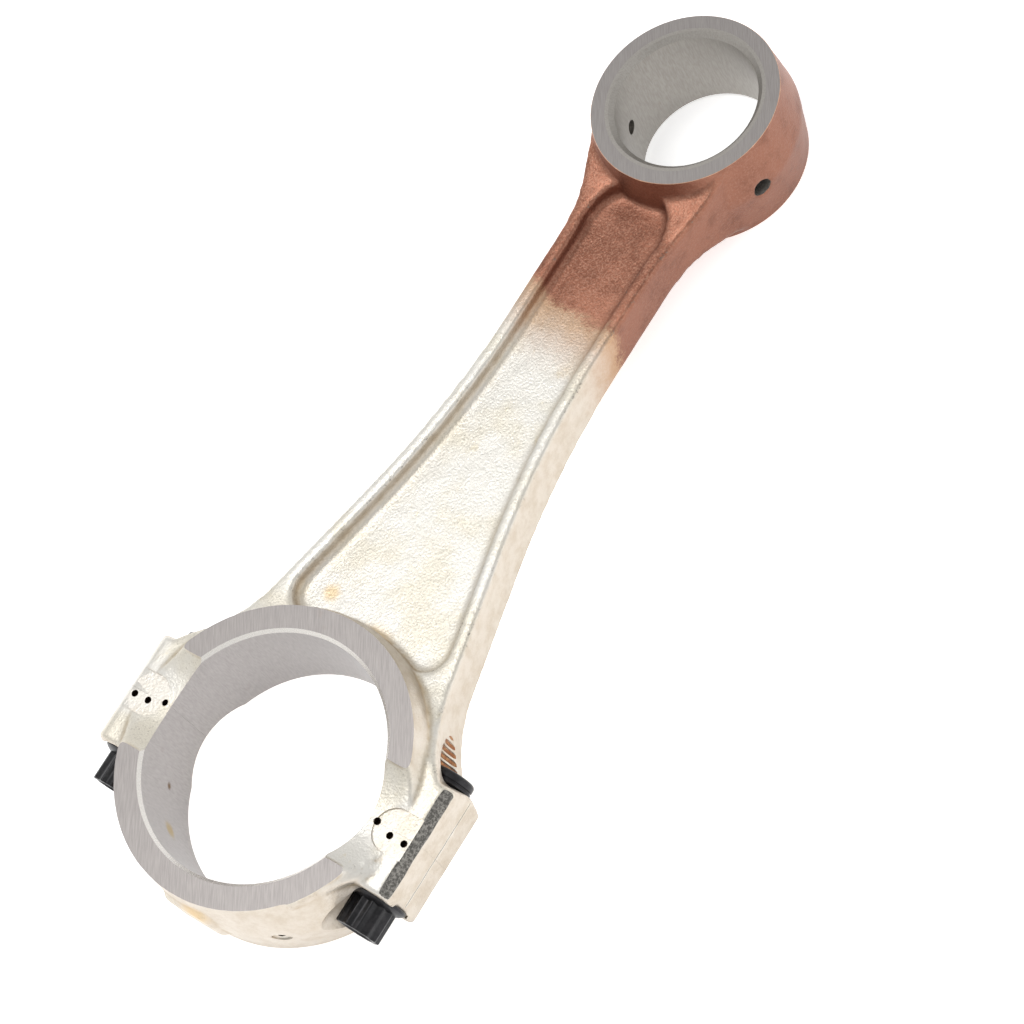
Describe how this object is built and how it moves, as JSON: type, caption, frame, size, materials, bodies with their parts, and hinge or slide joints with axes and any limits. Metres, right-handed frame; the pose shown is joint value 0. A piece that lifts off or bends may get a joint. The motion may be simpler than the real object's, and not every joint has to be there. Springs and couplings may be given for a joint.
{
  "type": "connecting rod",
  "caption": "Forged I-section connecting rod with a bushed small end and a split big end whose cap is held by through bolts and flanged twelve-point nuts.",
  "frame": {"origin": "centre of the big-end bore, on its axis at half the rod's width", "axes": "+X along the rod to the small-end centre, +Z along the bore axes, +Y across the rod towards the left bolt"},
  "size_m": [0.3542, 0.1276, 0.0384],
  "materials": {
    "forged_steel": "forged, plated satin silver, copper plated at the small end, machined bores and faces",
    "bush_metal": "fine bored grey bearing metal",
    "black_steel": "black oxide, satin",
    "ground_steel": "ground"
  },
  "bodies": {
    "rod": {"rod": "forged_steel", "small_end_bush": "bush_metal", "bolt_left": "black_steel", "bolt_right": "black_steel", "sleeve_left": "ground_steel", "sleeve_right": "ground_steel"},
    "cap": {"bearing_cap": "forged_steel"},
    "nut_left": {"nut_left": "black_steel"},
    "nut_right": {"nut_right": "black_steel"}
  },
  "joints": [
    {"name": "cap_release", "type": "slide", "parent": "rod", "child": "cap", "axis": [-1, 0, 0], "range_m": [0, 0.012]},
    {"name": "nut_left_turn", "type": "hinge", "parent": "cap", "child": "nut_left", "pos_m": [-0.0255, 0.0535, 0], "axis": [-1, 0, 0], "range_deg": [0, 2880.5]},
    {"name": "nut_right_turn", "type": "hinge", "parent": "cap", "child": "nut_right", "pos_m": [-0.0255, -0.0535, 0], "axis": [-1, 0, 0], "range_deg": [0, 2880.5]}
  ],
  "couplings": [
    {"joint": "nut_left_turn", "follows": "cap_release", "rad_per_m": 4188.8},
    {"joint": "nut_right_turn", "follows": "cap_release", "rad_per_m": 4188.8}
  ]
}
